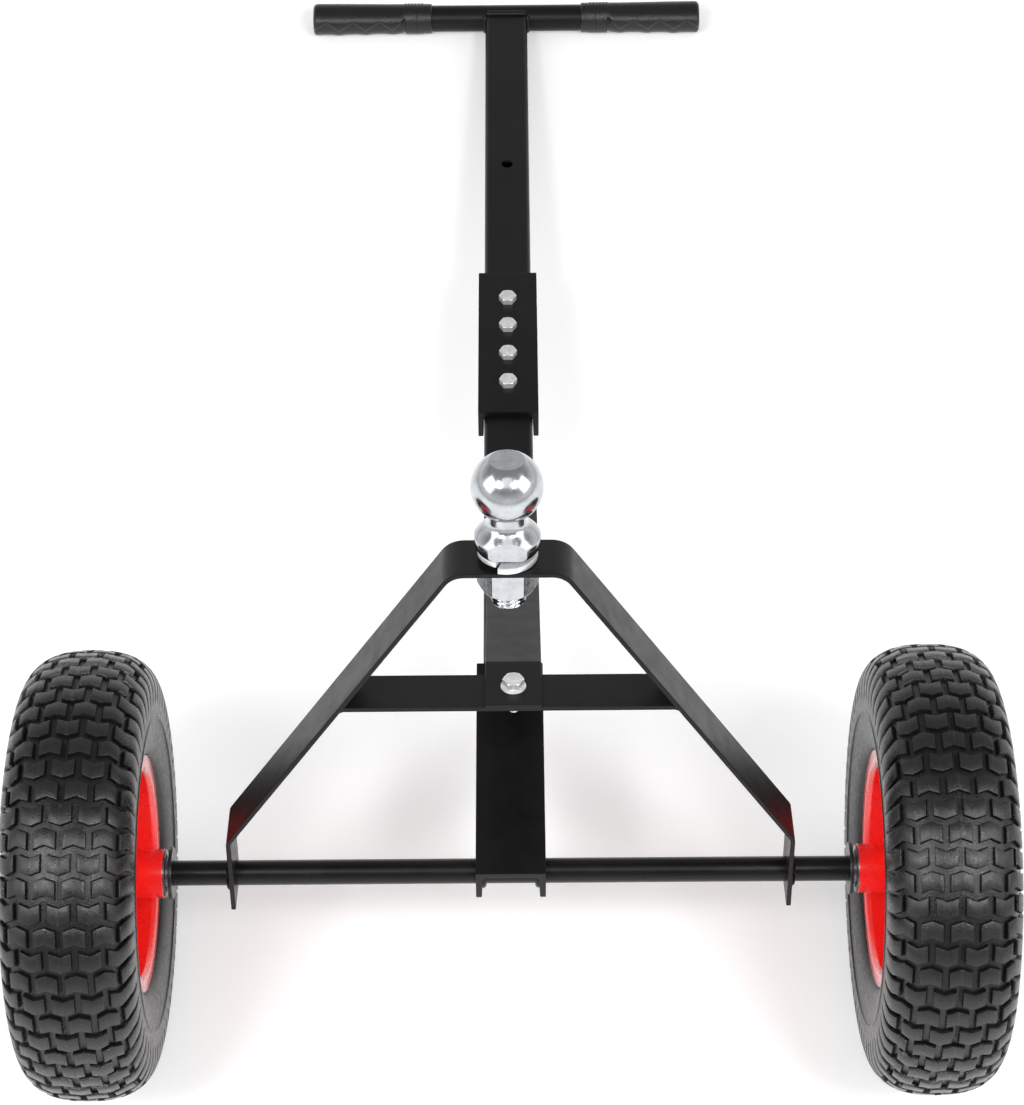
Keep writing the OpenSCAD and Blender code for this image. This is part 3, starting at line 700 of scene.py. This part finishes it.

# %% [markdown]
# Thirty strips in a row make the whole length of the tread. Wrapping is then one move of
# each corner: its distance across becomes a place on the section, its distance along
# becomes an angle, and its height stands off the surface. The blocks reach full depth on
# the crown and fade out down the shoulder, where they run on as ribs. A raised ring on
# each wall and a thin line of mould flash are added on the way. An attribute keeps how deep
# each corner lies in the tread, and the rubber darkens the grooves by it as painted shade.

# %% Wrap the tread round the wheel
FLASH = 0.25                # height of the mould flash along the middle of the crown
RING = 0.8                  # height of the decorating ring
RING_AT = (78, 79.5)        # where it is, from the crown's middle

apply_modifier(
    strip,
    "ARRAY",
    count=ROWS // 2,
    use_relative_offset=False,
    use_constant_offset=True,
    constant_offset_displace=(0, 2 * ROW, 0),
    use_merge_vertices=True,
    merge_threshold=0.002,
)


def wrapped(u, v, h):
    """Carries a corner of the strip to the tyre, whose axis is Z."""
    spot, normal = on_section(u)
    off = (h - TREAD_DEPTH) * (1 - ease(abs(u), *SHOULDER))
    if abs(u) < 0.01:
        off += FLASH
    if RING_AT[0] < abs(u) < RING_AT[1]:
        off += RING
    place = spot + normal * off
    return round_z(place.y, v / TYRE_R, place.x)


groove_shade = strip.data.attributes.new("groove_shade", "FLOAT", "POINT")
for corner, mark in zip(strip.data.vertices, groove_shade.data):
    u, v, h = corner.co
    in_tread = 1 - ease(abs(u), *SHOULDER)
    # how deep the corner lies in the tread, which the rubber turns into painted shade
    mark.value = in_tread * (1 - h / TREAD_DEPTH)
    corner.co = wrapped(u, v, h)
tyre = close_up(strip, 0.01)
for side, body in ((-1, "left_wheel"), (1, "right_wheel")):
    name = body.replace("wheel", "tyre")
    piece = placed(another(tyre, name + "_treaded"), wheel_place(side))
    handed_in(piece, body, tyre_rubber, [name], 32)
bpy.data.objects.remove(tyre)

# %% [markdown]
# ## Grips
#
# A vinyl sleeve pushed on each end of the handlebar. It has a plain collar, six fine ribs
# for the thumb, and four scoops for the fingers that are pressed in almost two millimetres
# deep, with a wall that runs round the grip in a zigzag. All of this is one radius that
# depends on the place along the grip and the angle round it, so a rolled grid is the
# simplest start. The grip rests on the floor, so its radius is cut off there.

# %% Shape of a grip
BORE_R = 12.6               # a tight fit on the bar
MOUTH_R = 13.2              # the bore's rounded mouth
SLEEVE_R = 14.1             # radius of the collar
SLEEVE_GAIN = 0.8           # how much fuller the sleeve gets towards its outer end
GRIP_L = 114
GRIP_IN = 71.6              # inboard end from the middle of the handle
GRIP_HIGH = 14.74           # just under the height of the bar's middle above the floor
END_ROUND = 4
END_WALL = 3
RIBS = (8, 26.6)            # from and to, along the grip
RIB_PITCH = 3.1
RIB_HIGH = 0.6
SWELL_AT = 24               # where the collar ends and the fingers' side swells
SWELL = 1.7
FINGERS_FACE = 25           # degrees that the fingers' side looks below level
SCOOP_DEPTH = 1.9
SCOOP_WALL = 15             # radius at which the walls' zigzag is measured
RIDGES = (37.8, 63.9, 89.5, 115)
# the scoops' upper wall: place along the grip, and angle above level
SCOOP_LINE = [(25.6, 48.7), (37.8, 2.7), (49.6, 35.7), (63.9, 2.7), (75.6, 35.7),
              (89.5, 2.7), (101.7, 35.7), (115, 2.7)]


def scoop_edge(x):
    """Angle above level of the scoops' upper wall."""
    for (x0, a0), (x1, a1) in zip(SCOOP_LINE, SCOOP_LINE[1:]):
        if x0 <= x <= x1:
            return a0 + (a1 - a0) * (x - x0) / (x1 - x0)
    return 90


def grip_radius(x, rise):
    """Radius at x from the inboard end, at an angle above level on the front side."""
    radius = SLEEVE_R + SLEEVE_GAIN * ease(x, SWELL_AT, GRIP_L)
    if RIBS[0] < x < RIBS[1]:
        wave = math.sin(math.pi * ((x - RIBS[0]) % RIB_PITCH) / RIB_PITCH)
        radius += RIB_HIGH * max(wave, 0) ** 0.6
    finger_side = ease(math.cos(math.radians(rise + FINGERS_FACE)), -0.2, 0.75)
    radius += SWELL * finger_side * ease(x, SWELL_AT, SWELL_AT + 7)
    below = (scoop_edge(x) - rise) * math.pi / 180 * SCOOP_WALL
    if x > SCOOP_LINE[0][0] and -140 < rise:
        nearest = min(abs(x - ridge) for ridge in RIDGES)
        full = 0.55 + 0.45 * ease(nearest, 0, 8)
        radius -= SCOOP_DEPTH * full * ease(below, 0, 2.5) * (1 - ease(-rise, 100, 140))
    down = math.cos(math.radians(rise + 90))
    if down > 0.2:
        radius = min(radius, GRIP_HIGH / down)
    return radius


print(f"grip: {grip_radius(GRIP_L / 2, 90):.1f} mm radius on top, half way along")

# %% [markdown]
# The rolled grid runs from the bore's end wall, out of its mouth, along the outside and
# round the outer end. Each station on the way is a kind, a place along the grip and a
# value: a radius of its own, or how much the rounded end takes off the sleeve's radius.
# Stations stand closer together at the ribs.

# %% Grips
COARSE = 0.9
FINE = 0.5                  # distance between stations at the ribs

stations = [("own", GRIP_L - END_WALL, 0.2), ("own", GRIP_L - END_WALL, BORE_R)]
stations += [("own", 0, BORE_R), ("own", 0, MOUTH_R)]
x = COARSE
while x < GRIP_L - END_ROUND:
    stations.append(("sleeve", x, 0))
    x += FINE if 7 < x < 27 else COARSE
for i in range(1, 9):
    a = math.radians(90 * i / 8)
    end_x = GRIP_L - END_ROUND + END_ROUND * math.sin(a)
    stations.append(("sleeve", end_x, END_ROUND * (1 - math.cos(a))))
stations.append(("own", GRIP_L, 4))


def grip_shape(side):
    def shape(turn, way):
        kind, x, value = stations[round(way * (len(stations) - 1))]
        rise = 360 * turn - 180
        radius = value if kind == "own" else grip_radius(x, rise) - value
        angle = math.radians(rise) - dip
        forward, up = radius * math.cos(angle), radius * math.sin(angle)
        return Vector((side * (GRIP_IN + x), handle_l - forward, up))

    return shape


for side, name in ((-1, "grip_left"), (1, "grip_right")):
    grip = rolled(name + "_scooped", 144, len(stations) - 1, grip_shape(side))
    placed(grip, HANDLE)
    handed_in(grip, "root", grip_vinyl, [name], 50)

# %% [markdown]
# ## Tow ball
#
# The ball is turned from one bar with its base and shank, then polished and plated. The
# Spin operator could turn its profile, but the thread on the shank's free end isn't the
# same all the way round: there the radius dips by a wave that climbs one pitch in each
# turn. A rolled grid takes both. Two wrench flats are cut from the base with a Boolean.

# %% Profile of the tow ball
PLATE_TOP = 281             # heights above the axle, with the ball upright
SHANK_END = 245.1
THREAD = (246.9, 262)
BASE_Z = 290.3
BASE_TOP = 300.0
BALL_Z = 337.7
FLAT_Z = 358.5
SHANK_R = 12.0
BASE_R = 22
NECK_R = 12.75
BALL_R = 23.8125
PITCH = 3.0
THREAD_DEPTH = 1.6
BASE_FLATS = 36             # across the wrench flats
TURNING_MARK = 0.05         # depth of the marks on the flat top, one each 0.8 mm

turning = [(0.0, SHANK_END), (SHANK_R - 1.8, SHANK_END), (SHANK_R, THREAD[0])]
turning += [(SHANK_R, THREAD[0] + 0.5 * i) for i in range(1, 31)]
turning += [(SHANK_R, PLATE_TOP + 2), (SHANK_R, BASE_Z), (20.6, BASE_Z), (BASE_R, BASE_Z + 2.6)]
turning += [(BASE_R, BASE_TOP - 0.7), (21.9, BASE_TOP - 0.2), (21.6, BASE_TOP + 0.3)]
# radius and height above the base
FLARE = [(20.8, 1.3), (19.6, 2.7), (18.2, 4.1), (16.8, 5.4), (15.4, 6.7), (14.2, 8.0),
         (13.4, 9.3), (12.9, 10.8), (NECK_R, 12.5)]
turning += [(r, BASE_TOP + rise) for r, rise in FLARE]
neck_angle = math.asin(NECK_R / BALL_R)
flat_angle = math.acos((FLAT_Z - BALL_Z) / BALL_R)
for i in range(41):
    a = math.pi - neck_angle + (flat_angle + neck_angle - math.pi) * i / 40
    turning.append((BALL_R * math.sin(a), BALL_Z + BALL_R * math.cos(a)))
flat_r = BALL_R * math.sin(flat_angle)
turning += [(flat_r - 0.25, FLAT_Z)]
for i in range(12):
    turning.append((flat_r - 0.8 - 0.8 * i, FLAT_Z - TURNING_MARK * (i % 2 == 0)))
turning += [(0.0, FLAT_Z)]
print("tow ball:", len(turning), "points from", SHANK_END, "to", FLAT_Z, "mm")

# %% Tow ball
CUTTER = (60, 44, 20)
CUTTER_Z = 298


def threaded(radius, depth, height, pitch, turn):
    """The radius under a V thread that climbs one pitch in each turn."""
    return radius - depth * abs(2 * ((height / pitch - turn) % 1) - 1)


def ball_shape(turn, way):
    radius, height = turning[round(way * (len(turning) - 1))]
    if THREAD[0] <= height < THREAD[1]:
        radius = threaded(radius, THREAD_DEPTH, height, PITCH, turn)
    return round_z(radius, math.tau * turn, height)


ball = rolled("tow_ball_turned", 128, len(turning) - 1, ball_shape)
for side in (-1, 1):
    deselect()
    spot = (0, side * (BASE_FLATS + CUTTER[1]) / 2, CUTTER_Z)
    bpy.ops.mesh.primitive_cube_add(size=1, location=spot, scale=CUTTER)
    bpy.ops.object.transform_apply(location=True, scale=True)
    cutter = added("flat_cutter")
    apply_modifier(ball, "BOOLEAN", operation="DIFFERENCE", object=cutter, solver="EXACT")
    bpy.data.objects.remove(cutter)
placed(ball, CHASSIS)
handed_in(ball, "root", ball_zinc, ["tow_ball"], 35)

# %% [markdown]
# ## Lock washer
#
# A spring washer is one turn of flat bar, cut open and twisted so that one end stands
# higher. Its section is a square-cut bar with rounded corners, swept round the shank
# while it climbs. The rolled grid does this too: here the turn goes round the section, and
# the way goes round the shank.

# %% Lock washer
# radius and height of the section's corners
BAR_CORNERS = [(12.8, 0), (19.5, 0), (19.9, 0.15), (20, 0.5), (20, 4), (19.85, 4.35), (19.5, 4.5),
               (12.8, 4.5), (12.4, 4.35), (12.3, 4), (12.3, 0.5), (12.4, 0.15)]
SPRING_START = -109         # degrees round the shank where the low end is cut
SPRING_TURN = 356
SPRING_CLIMB = 4.8


def spring_shape(turn, way):
    radius, height = BAR_CORNERS[round(turn * len(BAR_CORNERS)) % len(BAR_CORNERS)]
    angle = math.radians(SPRING_START + SPRING_TURN * way)
    return round_z(radius, angle, PLATE_TOP + height + SPRING_CLIMB * way)


spring = rolled("lock_washer_bar", len(BAR_CORNERS), 120, spring_shape)
placed(spring, CHASSIS)
handed_in(spring, "root", bolt_zinc, ["ball_lock_washer"], 40)

# %% [markdown]
# ## Bolts
#
# A forged hexagon head has its top corners turned off by a shallow cone, a flat face with
# a slight dish, and sometimes a flange below. The free end is threaded. One list of
# heights and radii describes it, and the radius at each height is the smaller of the
# hexagon and the cone. All the bolts that show are M8, and differ in length and flange.

# %% Shape of a bolt
HALF_FLATS = 6.5            # half the width across the flats of an M8 head
HEAD_H = 5.3
BOLT_R = 4
BOLT_PITCH = 1.25
BOLT_THREAD = 0.7           # depth of the thread
TIP = 0.8                   # height of the tip's cone
CONE_H = 0.9                # height of the cone on the head
CONE_SLOPE = 1.8            # radius that the cone loses in each millimetre
DISH = 0.3
FLANGE = [(8.4, 0), (8.75, 0.4), (8.6, 1), (7.7, 1.7)]      # radius and height above the seat
FLANGE_TOP = 1.9            # height at which the hexagon rises from the flange
FLANGE_H = 2                # how much higher a flange makes the head
NO_CONE = 20                # wider than the hexagon's corners


def bolt(name, seat, end, flange):
    """Hexagon bolt along Z: seat and end are the heights under the head and of the tip."""
    top = seat + (FLANGE_H if flange else 0) + HEAD_H
    cone = top - CONE_H
    stations = [("round", 0, end), ("round", BOLT_R - 1, end), ("thread", BOLT_R, end + TIP)]
    stations += [("thread", BOLT_R, end + TIP + BOLT_PITCH / 4 * i) for i in range(1, 34)]
    stations += [("round", BOLT_R, seat)]
    if flange:
        stations += [("round", radius, seat + rise) for radius, rise in FLANGE]
    foot = seat + (FLANGE_TOP if flange else 0)
    stations += [("hex", NO_CONE, foot), ("hex", NO_CONE, cone)]
    for i in range(1, 7):
        rise = CONE_H * i / 6
        radius = HALF_FLATS * 0.95 + CONE_SLOPE * (CONE_H - rise)
        stations.append(("hex", radius, cone + rise))
    stations += [("round", HALF_FLATS * 0.8, top), ("round", HALF_FLATS * 0.66, top - DISH)]
    stations += [("round", 0, top - DISH)]

    def shape(turn, way):
        kind, radius, height = stations[round(way * (len(stations) - 1))]
        angle = math.tau * turn
        if kind == "hex":
            off_middle = (angle + math.pi / 6) % (math.pi / 3) - math.pi / 6
            radius = min(radius, HALF_FLATS / math.cos(math.pi / 6 - abs(off_middle)))
        if kind == "thread":
            radius = threaded(radius, BOLT_THREAD, height, BOLT_PITCH, turn)
        return round_z(radius, angle, height)

    return rolled(name, 48, len(stations) - 1, shape)


def at(obj, x, y, matrix):
    """Moves a bolt across to (x, y) in a frame and into the row frame."""
    return placed(obj, matrix @ Matrix.Translation((x, y, 0)))


# %% [markdown]
# Four plain bolts hold the splice, and a flanged bolt holds each end of the brace, a little
# to the right of the middle. Each bolt's two heights are the face that its head sits on
# and the tip of its shank, in the frame that carries it.

# %% Bolts
SPLICE_AT = [496.5, 531.5, 566.5, 601.5]        # along the handle
REAR_AT = 378.65
BRACE_X = 3
HANDLE_TIP = -19.8

splice = [at(bolt("splice_bolt", 15, HANDLE_TIP, False), 0, y, HANDLE) for y in SPLICE_AT]
splice = joined("splice_bolts_forged", splice)
rear = at(bolt("brace_rear_bolt_forged", 13.5, HANDLE_TIP, True), BRACE_X, REAR_AT, HANDLE)
front = at(bolt("brace_front_bolt_forged", 170.5, 150, True), BRACE_X, 0, CHASSIS)
for piece, node in ((splice, "splice_bolts"), (rear, "brace_rear_bolt"),
                    (front, "brace_front_bolt")):
    handed_in(piece, "root", bolt_zinc, [node])

# %% [markdown]
# ## Steel parts with worn-in edges
#
# Sheared and bent steel never has a knife edge, and its coat rounds it further. The CAD
# solids are loose triangles, so a copy is merged, its flat faces are made whole, and its
# sharp edges get a bevel of about half a millimetre. The bevel is what catches the light
# along an edge. Weighted normals then keep the flat faces looking flat.

# %% Softened copies
SOFTENED = {
    "ball_yoke": 0.6, "cross_bar": 0.5, "brace_strap": 0.5, "lower_channel": 0.7,
    "splice_channel": 0.7, "lower_handle_tube": 0.4, "upper_handle_tube": 0.4,
    "handlebar": 0.3, "ball_nut": 0.5, "brace_front_nut": 0.4, "brace_rear_nut": 0.4,
    "splice_nuts": 0.4, "axle": 0.4, "axle_collars": 0.3, "axle_end_washers": 0.3,
}
for side in ("left_", "right_"):
    SOFTENED.update({side + "rim_inner": 0.3, side + "rim_outer": 0.3, side + "hub": 0.4})
    SOFTENED.update({side + "rim_bolts": 0.3, side + "rim_nuts": 0.3})


def softened(node, edge):
    """A copy of a CAD node with its edges rounded by a bevel, in millimetres. Without the
    node's parent and marks, it counts as a new piece."""
    source = nodes[node]
    body, material = source["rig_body"], source.data.materials[0]
    copy = another(source, node + "_softened")
    copy.parent = None
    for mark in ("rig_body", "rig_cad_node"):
        del copy[mark]
    bpy.ops.mesh.customdata_custom_splitnormals_clear()
    edit(copy, "VERT")
    bpy.ops.mesh.select_all(action="SELECT")
    bpy.ops.mesh.remove_doubles(threshold=0.002 * MM)
    bpy.ops.mesh.select_all(action="SELECT")
    bpy.ops.mesh.dissolve_limited(angle_limit=math.radians(1))
    bpy.ops.object.mode_set(mode="OBJECT")
    apply_modifier(
        copy,
        "BEVEL",
        width=edge * MM,
        segments=2,
        limit_method="ANGLE",
        angle_limit=math.radians(35),
        use_clamp_overlap=False,
    )
    low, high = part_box(node)
    worst = max(
        max(low[i] - v.co[i], v.co[i] - high[i]) for v in copy.data.vertices for i in range(3)
    )
    print(f"{node}: outside its box by {worst / MM:.3f} mm")
    handed_in(copy, body, material, [node], 35)
    apply_modifier(copy, "WEIGHTED_NORMAL", keep_sharp=True)


for node, edge in SOFTENED.items():
    softened(node, edge)

# %% [markdown]
# ## Weld beads
#
# A hand-laid bead is a row of overlapping puddles. Each one follows a line along the
# joint, is a little wider than the plate is thick, and ripples every two millimetres or so.
# Its ends taper off where the arc was struck and stopped. A curve with a round bevel would
# be smooth, so the ripple comes from a rolled grid again. The beads are coated with the
# frame.

# %% Shape of a weld
RIPPLE = 2.2
STEP = 0.45                 # distance between the grid's rings
LEAST_RINGS = 24


def weld(name, line, radius, matrix):
    """A bead along a line of points, all in one frame, in millimetres."""
    gone = [0.0]
    for p, q in zip(line, line[1:]):
        gone.append(gone[-1] + (q - p).length)
    count = max(int(gone[-1] / STEP), LEAST_RINGS)

    def on_line(far):
        i = next((k for k in range(1, len(gone)) if gone[k] >= far - 1e-9), len(gone) - 1)
        share = (far - gone[i - 1]) / (gone[i] - gone[i - 1])
        return line[i - 1].lerp(line[i], share), (line[i] - line[i - 1]).normalized()

    def shape(turn, way):
        far = gone[-1] * way
        spot, ahead = on_line(far)
        along_x = abs(ahead.x) > 0.9
        sideways = ahead.orthogonal() if along_x else ahead.cross(Vector((1, 0, 0)))
        sideways.normalize()
        up = ahead.cross(sideways)
        wave = (far % RIPPLE) / RIPPLE
        size = radius * (0.92 + 0.16 * math.sqrt(max(1 - (2 * wave - 1) ** 2, 0)))
        end = min(far, gone[-1] - far) / (1.2 * radius)
        size *= math.sqrt(max(1 - (1 - min(end, 1)) ** 2, 0.02))
        angle = math.tau * turn
        return spot + sideways * size * math.cos(angle) + up * size * math.sin(angle)

    return placed(rolled(name, 14, count, shape), matrix)


def ring_line(x, radius, start, end, steps=48):
    """Part of a circle round the axle, at x."""
    angles = [math.radians(start + (end - start) * i / steps) for i in range(steps + 1)]
    return [Vector((x, radius * math.cos(a), radius * math.sin(a))) for a in angles]


# %% [markdown]
# The axle is welded almost all round to the yoke's feet and the channel, the crossbar to the
# inside of the yoke's legs, and the handle's tube to the bar across its end: along the
# top, and down both sides in the hollow where the tube meets the round bar.

# %% Welds
AXLE_RING = 9.8             # radius of a bead's middle on the axle
FOOT_X = 200.1
CHANNEL_X = 19.8
CROSS_ENDS = ((111.9, 167.1), (114.4, 163.4))   # x and z at the bar's two edges
CROSS_Y = 17
BAR_X = 20.1
BAR_H = 9.6                 # half the height of a bead down the tube's side
BAR_RING = 12.6             # radius of a bead's middle on the handlebar
TOP_X = 19.5                # half the length of the bead along the tube's top
TOP_BACK = 7.4              # how far it lies before the bar's middle, and how high
TOP_Z = 10.4
THICK = {"foot": 2.5, "channel": 2.3, "cross_bar": 2.2, "bar_side": 2.2, "bar_top": 2.8}


def laid(name, line, place):
    """One bead, with the radius that its kind has."""
    beads.append(weld(name, line, THICK[name], place))


beads = []
for side in (-1, 1):
    laid("foot", ring_line(side * FOOT_X, AXLE_RING, -200, 150), CHASSIS)
    laid("channel", ring_line(side * CHANNEL_X, AXLE_RING, 10, 350), HANDLE)
    for x, z in CROSS_ENDS:
        laid("cross_bar", [Vector((side * x, y, z)) for y in (-CROSS_Y, CROSS_Y)], CHASSIS)
    line = []
    for i in range(13):
        h = BAR_H - 2 * BAR_H * i / 12
        line.append(Vector((side * BAR_X, handle_l - math.sqrt(BAR_RING**2 - h * h), h)))
    laid("bar_side", line, HANDLE)
laid("bar_top", [Vector((x, handle_l - TOP_BACK, TOP_Z)) for x in (-TOP_X, TOP_X)], HANDLE)
handed_in(joined("weld_beads", beads), "root", powder_coat, angle=45)
